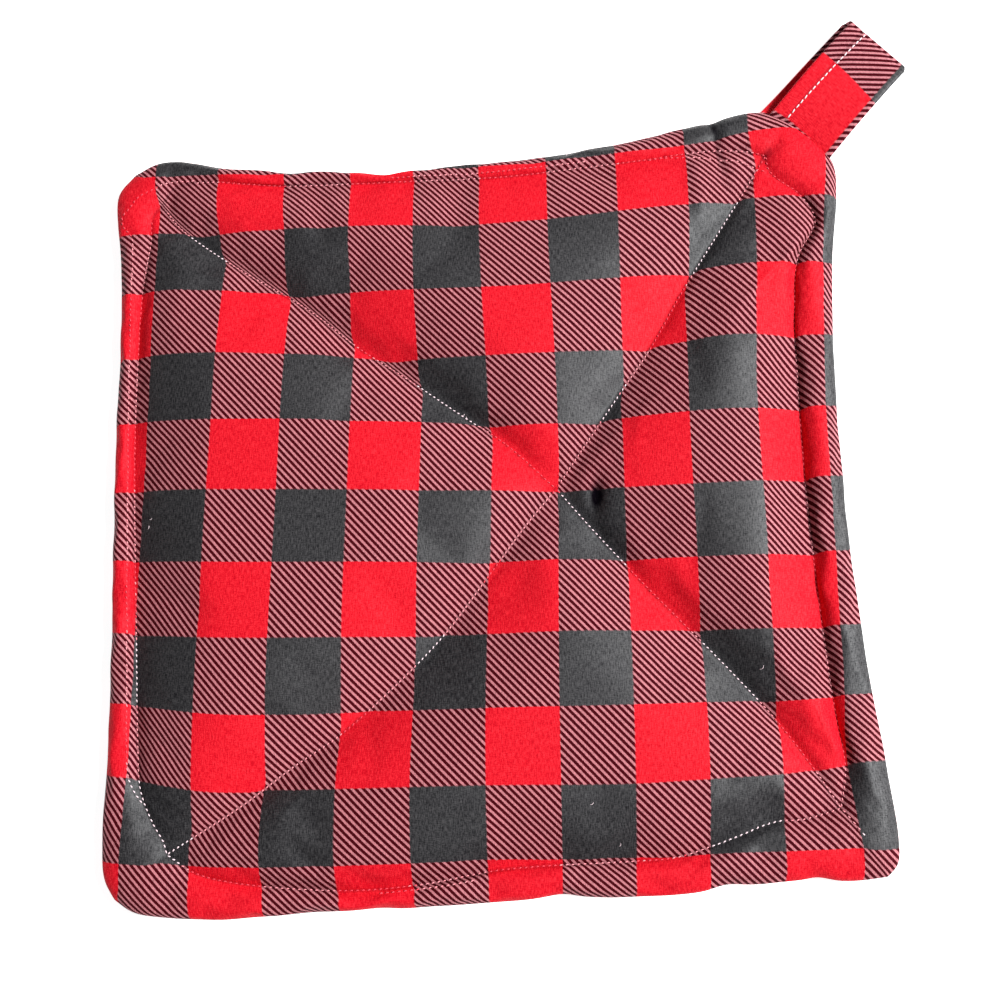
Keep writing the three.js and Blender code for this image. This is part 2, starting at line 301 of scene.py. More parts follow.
def pad_plan():
    """Flat places of the grid. Inside the seam: crossing + out * (seam - crossing), bent by the
    two arms' strays in proportion to nearness. Outside it: from the seam straight to the rim.
    Each place's distances are those to the two arms and, slantwise, to the outer seam."""
    plan = np.zeros(side_of.shape + (2,))
    seam_end = np.zeros_like(plan)
    rim_end = np.zeros_like(plan)
    distances = np.zeros(side_of.shape + (3,))
    for side in range(4):
        here = side_of == side
        along, out = along_of[here], out_of[here]
        arm, other = ARMS[side], ARMS[(side + 1) % 4]
        seam = walk(SEAMS[side], along)
        ray = crossing + out[:, None] * (seam - crossing)
        ray += stray(arm, out) * (1 - along)[:, None] + stray(other, out) * along[:, None]
        rim = rim_at(side, along)
        plan[here] = ray + border_of[here][:, None] * (rim - seam)
        seam_end[here], rim_end[here] = seam, rim
        width = np.linalg.norm(walk(arm, out) - walk(other, out), axis=1) * ARM_SINE
        reach = np.linalg.norm(seam - crossing, axis=1) * SIDE_SLANT
        distances[here] = np.stack([along * width, (1 - along) * width, (1 - out) * reach], 1)
    return plan, distances, seam_end, rim_end


plan, seam_distances, seam_end, rim_end = pad_plan()
tube_width = np.linalg.norm(rim_end - seam_end, axis=-1)
half_sides = np.arange(len(TUBE_TOPS)) / 2
tube_top = np.interp(side_of + along_of, half_sides, TUBE_TOPS)
seam_rise = np.interp(side_of + along_of, half_sides, SEAM_RISES)
seam_top = SEAM_TOP_Z + out_of**SEAM_RISE_POWER * seam_rise


def tube_front(out):
    """RIM_Z + (top - RIM_Z) * (1 - out^p)^(1/2), less a dip exp(-out / slope) at the seam."""
    oval = np.sqrt(np.maximum(0, 1 - out**TUBE_OVAL))
    dip = np.exp(-out / TUBE_SLOPE) * (1 - out)
    return RIM_Z + (tube_top - RIM_Z) * oval - (tube_top - seam_top) * dip


def tube_back(out):
    """A parabola of a trough at the seam, a flat band, then a quarter oval up to the rim."""
    lift = np.maximum(0, 1 - out * tube_width / (UNDER_TROUGH / 2))
    curl = np.maximum(0, out - TUBE_FLAT) / (1 - TUBE_FLAT)
    return SEAM_UNDER_Z * lift**2 + RIM_Z * (1 - np.sqrt(np.maximum(0, 1 - curl**2)))


def turned(x, y, bearing):
    """How far a place lies along a bearing in degrees and across it, in numbers or in wires."""
    cosine, sine = math.cos(math.radians(bearing)), math.sin(math.radians(bearing))
    return x * cosine + y * sine, y * cosine - x * sine


def crease_relief(x, y):
    """Sum of height * exp(-(along / length)^2 - (across / width)^2) over the creases."""
    relief = np.zeros_like(x)
    for cx, cy, bearing, length, width, height in CREASES:
        along, across = turned(x - cx, y - cy, bearing)
        relief += height * np.exp(-((along / length) ** 2) - (across / width) ** 2)
    return relief


def front_heights():
    """Puffs: seam top + swell * product of (1 - exp(-d / slope)) over the three seam distances,
    with soft unevenness that grows away from the seams and small puckers that fade from them."""
    swell = np.prod(1 - np.exp(-seam_distances / PUFF_SLOPE), axis=-1)
    nearest = seam_distances.min(-1)
    uneven = lattice_noise(plan, SOFT_LUMPS) + lattice_noise(plan, SMALL_LUMPS)
    beside_seam = np.exp(-((nearest - PUCKERS_OFF_SEAM) / PUCKERS_REACH) ** 2)
    puckers = lattice_noise(plan, SEAM_PUCKERS) * beside_seam
    puff = seam_top + (CROWN_Z - seam_top) * swell + uneven * swell + puckers
    ripples = lattice_noise(plan, BORDER_RIPPLES) * np.sin(np.pi * np.clip(border_of, 0, 1))
    height = np.where(inside, puff, tube_front(border_of) + ripples)
    clear_inside = 1 - np.exp(-nearest / CREASE_OFF_SEAM)
    clear_outside = np.minimum(1, border_of * CREASE_ON_BORDER)
    height += crease_relief(*np.moveaxis(plan, -1, 0)) * np.where(inside, clear_inside, clear_outside)
    return np.where(level_of == RIM_LEVELS, RIM_Z, height)


def back_heights():
    """Flat on the table but for a trough under each seam, with a few shallow puckers in it."""
    nearest = seam_distances.min(-1)
    lift = np.maximum(0, 1 - nearest / UNDER_TROUGH)
    ripple = 1 + lattice_noise(plan, BACK_PUCKERS)
    height = np.where(inside, SEAM_UNDER_Z * lift**2 * ripple, tube_back(border_of))
    return np.where(level_of == RIM_LEVELS, RIM_Z, height)


# The back's grid shares the front's points along the rim
front_points = np.dstack([plan, front_heights()]).reshape(-1, 3)
back_points = np.dstack([plan, back_heights()]).reshape(-1, 3)
cells = np.arange(grid_size**2).reshape(grid_size, grid_size)
on_rim = (level_of == RIM_LEVELS).ravel()
back_index = np.arange(grid_size**2)
back_index[~on_rim] = grid_size**2 + np.arange((~on_rim).sum())
pad_points = np.vstack([front_points, back_points[~on_rim]])
corners = np.stack([cells[:-1, :-1], cells[:-1, 1:], cells[1:, 1:], cells[1:, :-1]], -1).reshape(-1, 4)
pad_faces = np.vstack([corners, back_index[corners][:, ::-1]])


def new_mesh(name, points, faces):
    """A mesh from points and from faces that all have as many corners."""
    mesh = bpy.data.meshes.new(name)
    count, sides = faces.shape
    mesh.vertices.add(len(points))
    mesh.vertices.foreach_set("co", np.ascontiguousarray(points, np.float32).ravel())
    mesh.loops.add(count * sides)
    mesh.loops.foreach_set("vertex_index", np.ascontiguousarray(faces, np.int32).ravel())
    mesh.polygons.add(count)
    mesh.polygons.foreach_set("loop_start", np.arange(0, count * sides, sides, dtype=np.int32))
    mesh.update(calc_edges=True)
    mesh.validate()
    mesh.shade_smooth()
    return mesh


def keep(mesh, name, values, domain="POINT"):
    """A number kept on each point or edge of a mesh."""
    mesh.attributes.new(name, "FLOAT", domain).data.foreach_set("value", values.astype(np.float32))


def keep_print(mesh, places):
    """The print's place on each corner of a mesh's faces."""
    mesh.uv_layers.new(name="print").data.foreach_set("uv", places.astype(np.float32).ravel())


def new_piece(name, mesh):
    """An object at the origin that rides on the pot holder's one body."""
    piece = new_object(name, mesh)
    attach(piece, "root")
    return piece


pad = new_piece("quilted_pad", new_mesh("quilted_pad", in_frame(pad_points), pad_faces))
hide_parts("pad")

SEAM_SHARPNESS = 0.85


def sharpen_seams(mesh):
    """Creases the edges along the front's rows of sewing, which stay sharp valleys when the
    mesh is made finer."""
    diagonal = (abs(grid_column) == abs(grid_row)).ravel() & inside.ravel()
    outer = (level_of == SEAM_LEVELS).ravel()
    edges = np.zeros(len(mesh.edges) * 2, np.int32)
    mesh.edges.foreach_get("vertices", edges)
    first, second = edges.reshape(-1, 2).T
    front = (first < len(outer)) & (second < len(outer))
    first, second = np.minimum(first, len(outer) - 1), np.minimum(second, len(outer) - 1)
    sewn = front & (outer[first] & outer[second] | diagonal[first] & diagonal[second])
    keep(mesh, "crease_edge", sewn * SEAM_SHARPNESS, "EDGE")


sharpen_seams(pad.data)

# How far each point lies from the nearest sewn row, for the painted shade along the valley of each seam
seam_gap = np.where(inside, seam_distances.min(-1), border_of * tube_width).ravel()
keep(pad.data, "gap", np.append(seam_gap, seam_gap[~on_rim]))

# The print's place on the cloth, in checks: u counts columns to the right, v rows downwards
CHECK = 22.2
PRINT_MIDDLE = (6.58, -9.87)
PRINT_AT_MIDDLE = 7.5
BACK_PRINT_MIRROR = 14.36  # the back's columns are counted backwards from here
BACK_PRINT_SHIFT = 0.43  # and its rows are this much of a check further on
ARC_STEPS = 12

# Where the print lies off its straight rows. Columns are x, y, reach, slide right, slide up.
PRINT_SLIDES = (
    (-90, 85, 55, 3, 0.5), (0, 85, 55, -1.5, -1.5), (90, 85, 55, 1, 6),
    (-90, 23, 55, 1.5, 1.5), (0, 23, 55, 2.5, -0.5), (90, 23, 55, -3.5, -1),
    (-90, -38, 55, 0.5, 0), (-90, -100, 55, -1.5, -2.5), (0, -100, 55, 0.5, -0.5),
    (90, -100, 55, -1, 1), (102, 120, 17, 2.5, 5), (-85, 112, 22, -2.4, -0.4),
    (-118, -85, 22, 0.4, 1.6), (110, -80, 16, -3, 1.4), (35, -100, 22, 0, -1),
    (35, -124, 13, 0, 2.2), (82, 120, 12, -2.8, 1.6), (-125, 66, 22, 0, 2),
    (-125, 25, 25, 0, 1.8), (-125, -20, 28, 0, 1.8), (-122, -75, 30, 1, 2.6),
    (104, 5, 25, 0, 1.6), (108, -45, 30, -2.2, 0), (112, -85, 22, 0, 2.6),
)

# Cloth that each diagonal row has drawn down into its valley, from either side
TAKE_UP = (0.4, 0.9, 1.2, 0.6)
TAKE_UP_REACH = 20


def print_slides(x, y):
    """Slides of the print: bells slide * exp(-(distance / reach)^2) at the table's places, and
    take-up * exp(-distance / reach) away from each diagonal row."""
    slid = np.zeros(x.shape + (2,))
    for cx, cy, reach, right, up in PRINT_SLIDES:
        bell = np.exp(-((x - cx) ** 2 + (y - cy) ** 2) / reach**2)
        slid += bell[..., None] * np.array([right, up])
    for side in range(4):
        for arm, turn in ((side, 1), ((side + 1) % 4, -1)):
            ahead = unit(walk(ARMS[arm], 1.0) - crossing)
            outward = turn * np.array([ahead[1], -ahead[0]])
            distance = abs((x - crossing[0]) * ahead[1] - (y - crossing[1]) * ahead[0])
            pull = TAKE_UP[arm] * np.exp(-distance / TAKE_UP_REACH) * (side_of == side)
            slid += pull[..., None] * outward
    return slid


def over_the_tube(profile):
    """Length of cloth from the outer seam to each border point, over a profile of the tube."""
    steps = np.linspace(0, 1, ARC_STEPS + 1)[:, None, None] * border_of
    rises = np.diff(profile(steps), axis=0)
    runs = np.diff(steps, axis=0) * tube_width
    return np.hypot(rises, runs).sum(0)


def print_map(profile, mirrored):
    """Print coordinates of the grid: read straight off the plan inside the seam, and carried on
    by the length of cloth over the border."""
    outward = (rim_end - seam_end) / np.maximum(tube_width, 0.1)[..., None]
    length = np.where(inside, 0, over_the_tube(profile))[..., None]
    flat = np.where(inside[..., None], plan, seam_end + outward * length)
    offset = (flat - print_slides(plan[..., 0], plan[..., 1]) - np.array(PRINT_MIDDLE)) / CHECK
    u, v = PRINT_AT_MIDDLE + offset[..., 0], PRINT_AT_MIDDLE - offset[..., 1]
    if mirrored:
        u, v = BACK_PRINT_MIRROR - u, v + BACK_PRINT_SHIFT
    return np.stack([u, v], -1).reshape(-1, 2)


front_print = print_map(tube_front, False)
back_print = print_map(tube_back, True)
keep_print(pad.data, np.vstack([front_print[corners], back_print[corners][:, ::-1]]))

# The batting swells: the front is blown up between its seams like a sewn cushion, within a cap
SWELL_FRAMES = 20
SWELL_CAP = 2.2
SEWN_WITHIN = 0.2  # points this near a diagonal row are held by it
CLOTH = {
    "quality": 6,
    "mass": 0.3,
    "tension_stiffness": 18,
    "compression_stiffness": 18,
    "shear_stiffness": 8,
    "bending_stiffness": 0.35,
    "use_pressure": True,
    "uniform_pressure_force": 4.0,
    "shrink_min": -0.005,  # a little slack
    "vertex_group_mass": "held",
}


def swell_between_seams(piece):
    """Cloth simulation without gravity; seams, rim and back are held."""
    level = level_of.ravel()
    free_front = (level < SEAM_LEVELS) & (seam_distances.min(-1).ravel() > SEWN_WITHIN)
    free_border = (level > SEAM_LEVELS) & (level < RIM_LEVELS - 1)
    held = np.ones(len(piece.data.vertices))
    held[: len(level)][free_front | free_border] = 0
    group = piece.vertex_groups.new(name="held")
    group.add(np.flatnonzero(held == 1).tolist(), 1.0, "REPLACE")
    start = np.array([v.co for v in piece.data.vertices])
    cloth = piece.modifiers.new("swell", "CLOTH")
    for setting, value in CLOTH.items():
        setattr(cloth.settings, setting, value)
    cloth.settings.effector_weights.gravity = 0
    cloth.collision_settings.use_collision = False
    cloth.point_cache.frame_start, cloth.point_cache.frame_end = 1, SWELL_FRAMES
    for step in range(1, SWELL_FRAMES + 1):
        scene.frame_set(step)
    shown = piece.evaluated_get(bpy.context.evaluated_depsgraph_get())
    swollen = np.array([v.co for v in shown.data.vertices])
    piece.modifiers.clear()
    piece.vertex_groups.clear()
    scene.frame_set(1)
    moved = swollen - start
    far = np.linalg.norm(moved, axis=1, keepdims=True) / MM
    moved *= np.minimum(1, SWELL_CAP / np.maximum(far, 1e-6))
    piece.data.vertices.foreach_set("co", (start + moved).astype(np.float32).ravel())
    piece.data.update()


swell_between_seams(pad)
finer = pad.modifiers.new("finer", "SUBSURF")
finer.levels = finer.render_levels = 1


class Wire:
    """A socket of a node tree that is reckoned with like a number."""

    def __init__(self, tree, socket):
        self.tree, self.socket = tree, socket

    def node(self, kind, settings=None, **inputs):
        """A new node, with its settings and the values or wires of its sockets."""
        made = self.tree.nodes.new(kind)
        for name, value in (settings or {}).items():
            setattr(made, name, value)
        for name, value in inputs.items():
            key = int(name[1:]) if name[0] == "_" and name[1:].isdigit() else name.replace("_", " ")
            socket = made.inputs[key]
            if isinstance(value, Wire):
                self.tree.links.new(value.socket, socket)
            else:
                socket.default_value = value
        return made

    def get(self, made, output=0):
        """An output of a node as a wire."""
        return Wire(self.tree, made.outputs[output])

    def maths(self, operation, a, b=0.0, c=0.0):
        return self.get(self.node("ShaderNodeMath", {"operation": operation}, _0=a, _1=b, _2=c))

    def __add__(self, other):
        return self.maths("ADD", self, other)

    def __sub__(self, other):
        return self.maths("SUBTRACT", self, other)

    def __rsub__(self, other):
        return self.maths("SUBTRACT", other, self)

    def __mul__(self, other):
        return self.maths("MULTIPLY", self, other)

    __radd__, __rmul__ = __add__, __mul__

    def clamp(self):
        return self.maths("MINIMUM", self.maths("MAXIMUM", self, 0.0), 1.0)

    def fraction(self):
        return self.maths("FRACT", self)

    def step(self, low, high):
        """0 below low, 1 above high, eased between."""
        eased = {"interpolation_type": "SMOOTHSTEP"}
        return self.get(self.node("ShaderNodeMapRange", eased, _0=self, _1=low, _2=high))

    def noise(self, place, scale, detail=2.0, roughness=0.5):
        """Noise from 0 to 1 at a place."""
        sockets = {"Vector": place, "Scale": scale, "Detail": detail, "Roughness": roughness}
        return self.get(self.node("ShaderNodeTexNoise", **sockets))

    def attribute(self, name):
        """A number kept on the mesh's points."""
        return self.get(self.node("ShaderNodeAttribute", {"attribute_name": name}), 2)

    def blend(self, share, first, second):
        """A colour between two colours."""
        made = self.node("ShaderNodeMix", {"data_type": "RGBA"}, _0=share, _6=first, _7=second)
        return self.get(made, 2)

    def surface(self, **sockets):
        """Ends the material with a shader."""
        shader = self.node("ShaderNodeBsdfPrincipled", **sockets)
        self.node("ShaderNodeOutputMaterial", Surface=self.get(shader))


def new_material(name):
    """A material without nodes, and a wire to make its nodes from."""
    material = bpy.data.materials.new(name)
    material.use_nodes = True
    material.node_tree.nodes.clear()
    return material, Wire(material.node_tree, None)


def srgb(red, green, blue):
    """A colour of 0 to 255 as seen on a screen, in linear light."""
    seen = np.array([red, green, blue]) / 255
    linear = np.where(seen <= 0.04045, seen / 12.92, ((seen + 0.055) / 1.055) ** 2.4)
    return (*linear.tolist(), 1.0)


# The print: its measures are shares of a check where nothing else is said
RED = srgb(211, 6, 27)
BLACK = srgb(5, 5, 6)
PINK = srgb(186, 115, 121)
MAROON = srgb(64, 0, 4)
HATCH_LINES = 10  # per check
HATCH_DARK = 0.54  # share of a line's pitch that is dark
HATCH_BLUR = 0.06  # of a line's pitch
HATCH_FRAY = 0.6  # how much of the print's fray shows in its lines
EDGE_BLUR = 0.012
FRAY = 0.04
FRAY_SCALE = 90.0

# The weave: noise drawn out along the threads. Each is cells a check across, down, and a layer.
WARP = (78.0, 12.0, 0.0)
WEFT = (20.0, 78.0, 7.0)
GRAIN_SCALE = 105.0
WEFT_SHARE = 0.7
GRAIN_SHARE = 0.7
MOTTLE = (1.3, 4.0, 0.55)  # scale, detail and roughness of its noise
MOTTLE_TONE = 0.08
BUMP_STRENGTH = 0.7
BUMP_METRES = 0.00012

# Pale specks, partly threads that the print hasn't covered and partly painted glints of the threads, and
# how deep the weave's light and dark go
BARE_COTTON_AND_GLINT = srgb(226, 214, 218)
BARE_AND_GLINT_GAIN, BARE_AND_GLINT_LIFT = 3.0, 0.3
BARE_AND_GLINT_BLACK, BARE_AND_GLINT_RED, BARE_AND_GLINT_ALL = 0.022, 0.016, 0.004
TONE_BLACK, TONE_ALL = 1.6, 0.9

# The gleam of pressed cotton is strongest on the black dye
GLEAM_BLACK, GLEAM_RED, GLEAM_PINK = 0.9, 0.12, 0.14
GLEAM_GAIN, GLEAM_LIFT = 1.6, 0.85
COTTON_ROUGHNESS = 0.74
MOTTLE_IN_ROUGHNESS = 0.1
COTTON_SOCKETS = {
    "Specular IOR Level": 0.08,
    "Specular Tint": (0.8, 0.5, 1.0, 1.0),
    "Coat Roughness": 0.62,
    "Coat IOR": 1.7,
    "Coat Tint": (0.97, 1.0, 0.99, 1.0),
}

# Painted shade: the cloth's colour is darkened beside the sewing, and clear of it from the second
# distance on
SEWN_NEAR, SEWN_FAR = 0.1, 0.8
SEAM_PAINTED_SHADE = 0.35
PAINTED_SHADE_DEPTH = 0.92

# Painted shade in the deep places of the puckers, where no light gets in. Columns are x, y, bearing, half
# length, half width, and how dark.
DEEP_PUCKERS = (
    (30.7, -1, 88, 3.6, 2.0, 1.6),
    (88.9, 111.3, 60, 2.6, 1.5, 0.6),
    (72, 121, 100, 3.5, 0.9, 0.8),
    (73.5, 112, 97, 6, 1.1, 0.5),
)
FRONT_ABOVE = (3.0, 3.5)  # heights between which a pucker's dark comes in, off the back panel


def odd_band(value):
    """1 where the whole part of the value is odd, softly."""
    half = (value * 0.5).fraction()
    soft = EDGE_BLUR / 2
    return half.step(0.5 - soft, 0.5 + soft) - half.step(1 - soft, 1 + soft)


def threads(start, u, v, drawing):
    """Noise about 0 drawn out one way: a thread wide and some millimetres long."""
    across, down, layer = drawing
    stretched = start.node("ShaderNodeCombineXYZ", X=u * across, Y=v * down, Z=layer)
    return start.noise(start.get(stretched), 1.0, 1.0) - 0.5


def pucker_painted_shade(start, dark, puckers):
    """Adds painted shade to the dark, for each pucker, depth * e^-((along / length)^2 + (across /
    width)^2).
    """
    spot = start.node("ShaderNodeSeparateXYZ", Vector=start.get(start.node("ShaderNodeTexCoord"), 3))
    x, y, z = (start.get(spot, k) for k in range(3))
    for cx, cy, bearing, length, width, depth in puckers:
        cx, cy, _ = in_frame((cx, cy, 0)).tolist()
        along, across = turned(x - cx, y - cy, bearing)
        along, across = along * (1 / (length * MM)), across * (1 / (width * MM))
        hollow = start.maths("POWER", math.e, (along * along + across * across) * -1.0)
        dark = dark + hollow * z.step(FRONT_ABOVE[0] * MM, FRONT_ABOVE[1] * MM) * depth
    return dark


def printed_cotton(name, puckers=()):
    """Long narrow noise each way stands for uneven threads, which tone and raise the cloth."""
    material, start = new_material(name)
    place = start.get(start.node("ShaderNodeUVMap", {"uv_map": "print"}))
    parts = start.node("ShaderNodeSeparateXYZ", Vector=place)
    u, v = start.get(parts, 0), start.get(parts, 1)

    fray = (start.noise(place, FRAY_SCALE) - 0.5) * FRAY
    column, row = odd_band(u + fray), 1 - odd_band(v + fray)
    both, neither = column * row, (1 - column) * (1 - row)
    hatched = 1 - both - neither
    line = ((v - u + fray * HATCH_FRAY) * HATCH_LINES).fraction()
    rising = line.step(HATCH_DARK - HATCH_BLUR, HATCH_DARK + HATCH_BLUR)
    light_line = rising * (1 - line.step(1 - HATCH_BLUR, 1.0))
    hatch = start.blend(light_line, MAROON, PINK)
    colour = start.blend(both, start.blend(neither, hatch, BLACK), RED)

    warp, weft = threads(start, u, v, WARP), threads(start, u, v, WEFT)
    grain = start.noise(place, GRAIN_SCALE, 1.0) - 0.5
    uneven = warp + weft * WEFT_SHARE + grain * GRAIN_SHARE
    mottle = start.noise(place, *MOTTLE)
    # Pale specks of bare thread mixed with painted glints of the threads, strongest on the black
    bare_and_glint = neither * BARE_AND_GLINT_BLACK + both * BARE_AND_GLINT_RED + BARE_AND_GLINT_ALL
    worn_and_glinting = start.blend((uneven * BARE_AND_GLINT_GAIN + BARE_AND_GLINT_LIFT).clamp() * bare_and_glint, colour, BARE_COTTON_AND_GLINT)

    # Painted shade along the seams' valleys and in the puckers' deep places: it darkens the colour and
    # takes away the coat
    dark = (1 - start.attribute("gap").step(SEWN_NEAR, SEWN_FAR)) * SEAM_PAINTED_SHADE
    if puckers:
        dark = pucker_painted_shade(start, dark, puckers)
    dark = dark.clamp()
    tone = 1 + uneven * (neither * TONE_BLACK + TONE_ALL) + (mottle - 0.5) * MOTTLE_TONE
    shade = tone * (1 - dark * PAINTED_SHADE_DEPTH)
    dimmer = start.node("ShaderNodeCombineXYZ", X=shade, Y=shade, Z=shade)
    toned = start.node("ShaderNodeVectorMath", {"operation": "MULTIPLY"}, _0=worn_and_glinting, _1=start.get(dimmer))

    gleam = neither * GLEAM_BLACK + both * GLEAM_RED + hatched * light_line * GLEAM_PINK
    gleam = gleam * (uneven * GLEAM_GAIN + GLEAM_LIFT).clamp()
    bump = start.node("ShaderNodeBump", Strength=BUMP_STRENGTH, Distance=BUMP_METRES, Height=uneven)
    start.surface(
        Base_Color=start.get(toned),
        Roughness=COTTON_ROUGHNESS + mottle * MOTTLE_IN_ROUGHNESS,
        Coat_Weight=gleam * (1 - dark),
        Normal=start.get(bump),
        **COTTON_SOCKETS,
    )
    return material


pad.data.materials.append(printed_cotton("check_cotton", DEEP_PUCKERS))


# The sewing
# Machine stitches of a pinkish white thread: each is a small raised dash, a little aslant, in
# the trough of its seam. On the red cloth it is stained, and on the black it stands out.
QUILTED = (1.6, 0.95)  # pitch and length of the stitches
TOPSTITCHED = (1.75, 1.05)
THREAD = 0.42
STITCH_SLANT = 16  # degrees off the row
STITCH_STRAY = 7  # by which single stitches differ
STITCH_SIDES = 6
STITCH_STATIONS = 7
STITCH_RISE, STITCH_DROP = 0.1, 0.16  # its middle's height, and its ends' depth below that
BLUNT_END = 0.02  # least of 1 - t^4, so that the ends keep a little width


def stitch_shape(length, thread):
    """A dash: rings of thread radius * (1 - t^4)^(1/2) along t from -1 to 1, whose middles lie at
    rise - drop * t^2."""
    t = np.linspace(-1, 1, STITCH_STATIONS)
    turn = np.arange(STITCH_SIDES) / STITCH_SIDES * 2 * np.pi
    radius = thread / 2 * np.sqrt(np.maximum(BLUNT_END, 1 - t**4))
    along = np.repeat(t * length / 2, STITCH_SIDES)
    across = (radius[:, None] * np.cos(turn)).ravel()
    arch = np.repeat(STITCH_RISE - STITCH_DROP * t**2, STITCH_SIDES)
    up = (radius[:, None] * np.sin(turn)).ravel() + arch
    points = np.stack([along, across, up], 1)
    ring = np.arange(STITCH_SIDES)
    after = (ring + 1) % STITCH_SIDES
    low = np.arange(STITCH_STATIONS - 1)[:, None] * STITCH_SIDES
    high = low + STITCH_SIDES
    walls = np.stack([low + ring, low + after, high + after, high + ring], -1).reshape(-1, 4)
    near_end = np.array([[0, 3, 2, 1], [0, 5, 4, 3]])  # two faces close six sides
    far_end = near_end[:, ::-1] + (STITCH_STATIONS - 1) * STITCH_SIDES
    return points, np.vstack([walls, near_end, far_end])


CLEAR_OF_PAD = 0.1  # metres above or below it


def surface_tree(piece):
    """A search tree of a piece's final surface."""
    return BVHTree.FromObject(piece, bpy.context.evaluated_depsgraph_get())


def touch(tree, flat, from_above):
    """Where an upright line at each flat place meets the surface, and its normal there."""
    sky, down = (CLEAR_OF_PAD, -1) if from_above else (-CLEAR_OF_PAD, 1)
    hits = []
    for x, y, _ in in_frame(np.column_stack([flat, np.zeros(len(flat))])):
        spot, normal, _, _ = tree.ray_cast(Vector((x, y, sky)), Vector((0, 0, down)))
        hits.append([*spot, *normal] if spot else [np.nan] * 6)
    hits = np.array(hits)
    return hits[:, :3], hits[:, 3:]


def lay_on(tree, flat, ahead, behind, shape, faces, from_above, turns):
    """Copies of a shape on a surface, each turned to the run from behind to ahead and then by
    its own angle."""
    centres, normals = touch(tree, flat, from_above)
    runs = touch(tree, ahead, from_above)[0] - touch(tree, behind, from_above)[0]
    found = np.isfinite(centres.sum(1) + runs.sum(1))
    centres, normals, runs, turns = centres[found], normals[found], runs[found], turns[found]
    runs = unit(runs)
    sides = unit(np.cross(normals, runs))
    cosine, sine = np.cos(turns)[:, None], np.sin(turns)[:, None]
    turned = runs * cosine + sides * sine
    sides = sides * cosine - runs * sine
    axes = np.stack([turned, sides, np.cross(turned, sides)], 1)
    points = centres[:, None, :] + np.einsum("pk,nkj->npj", shape * MM, axes)
    all_faces = faces[None] + np.arange(len(centres))[:, None, None] * len(shape)
    return points.reshape(-1, 3), all_faces.reshape(-1, 4), found


STEP_BESIDE = 0.3  # of the pitch on either side, to tell which way a stitch runs
STITCH_SEED = 8


def sew(name, rows, tree, pitch, length, thread=THREAD, slant=STITCH_SLANT, from_above=True, dye=None):
    """One mesh of stitches at an even pitch along rows. The dye gives each its share of stain."""
    places = []
    for row in rows:
        count = max(1, int(row[1][-1] / pitch))
        share = (np.arange(count) + 0.5) / count
        step = STEP_BESIDE * pitch / row[1][-1]
        places.append([walk(row, np.clip(share + k * step, 0, 1)) for k in (0, 1, -1)])
    middle, ahead, behind = (np.vstack(part) for part in zip(*places))
    strays = np.random.default_rng(STITCH_SEED).uniform(-STITCH_STRAY, STITCH_STRAY, len(middle))
    turns = np.radians(slant + strays)
    shape, faces = stitch_shape(length, thread)
    points, faces, found = lay_on(tree, middle, ahead, behind, shape, faces, from_above, turns)
    piece = new_piece(name, new_mesh(name, points, faces))
    shares = dye(middle[found]) if dye else np.zeros(found.sum())
    keep(piece.data, "stain", np.repeat(shares, len(shape)))
    piece.data.materials.append(pink_thread)


STAIN_SHARES = np.array([0, 0.65, 1])  # on the black, the hatching and the red


def red_under(flat):
    """How far the print under a flat place stains a stitch."""
    grid = plan.reshape(-1, 2)
    nearest = np.array([((grid - place) ** 2).sum(1).argmin() for place in flat])
    column, row = np.floor(front_print[nearest]).astype(int).T
    return STAIN_SHARES[(column % 2 == 1) + (row % 2 == 0).astype(int)]


BARE_THREAD = srgb(244, 220, 226)
STAINED_THREAD = srgb(224, 40, 64)
TWIST_SCALE = 4200.0  # per metre
TWIST_TONE = 0.6
TWIST_BUMP = 0.4
TWIST_METRES = 0.00005
THREAD_ROUGHNESS = 0.5
THREAD_SHEEN = 0.2


def sewing_thread(name):
    """Twisted sewing thread: fine uneven ridges, paler where it is bare."""
    material, start = new_material(name)
    twist = start.noise(start.get(start.node("ShaderNodeTexCoord"), 3), TWIST_SCALE)
    stain = (start.attribute("stain") + (twist - 0.5) * TWIST_TONE).clamp()
    bump = start.node("ShaderNodeBump", Strength=TWIST_BUMP, Distance=TWIST_METRES, Height=twist)
    start.surface(
        Base_Color=start.blend(stain, BARE_THREAD, STAINED_THREAD),
        Normal=start.get(bump),
        Roughness=THREAD_ROUGHNESS,
        Sheen_Weight=THREAD_SHEEN,
    )
    return material


pink_thread = sewing_thread("pink_thread")

# The outer row rounds the upper left corner outside the inner one and runs beside it down the
# left; other short rows were sewn twice. Columns are x, y.
OTHER_ROWS = (
    ((-101, 110.3), (-110.8, 109.2), (-114.9, 106.9), (-119.5, 104.5), (-122.5, 100.5), (-125, 97.5),
     (-124.5, 94.5), (-121.6, 90.5), (-120.6, 83), (-120.5, 74), (-120.3, 59), (-119.9, 42),
     (-119.3, 20), (-118.3, -5), (-117.2, -30), (-115.6, -62), (-115, -77), (-114, -85.4),
     (-112.3, -89.6), (-109.9, -93.2)),
    ((50, 110.8), (54.3, 111.2), (64, 110.5), (73.8, 109.4), (80.2, 108.3), (84, 106.9), (88, 105.2)),
    ((100, -96), (103, -100), (106, -104)),
    ((-37, -119.6), (-20, -117.8), (-8, -115.8)),
    ((-35, 108.2), (-18, 108.4), (-2, 108.6), (16, 109.8), (30, 111)),
)

# Shares of a row's length between which it is sewn, where it stops short of a corner
ARM_SHARES = ((0.004, 1), (0.004, 1), (0.004, 0.985), (0.004, 1))
TOP_SHARES = (0, 0.93)
LEFT_SHARES = (0.03, 1)
PART_STEPS = 200


def part_of_row(row, shares):
    """The part of a smooth curve between two shares of its length."""
    return with_lengths(walk(row, np.linspace(*shares, PART_STEPS)))


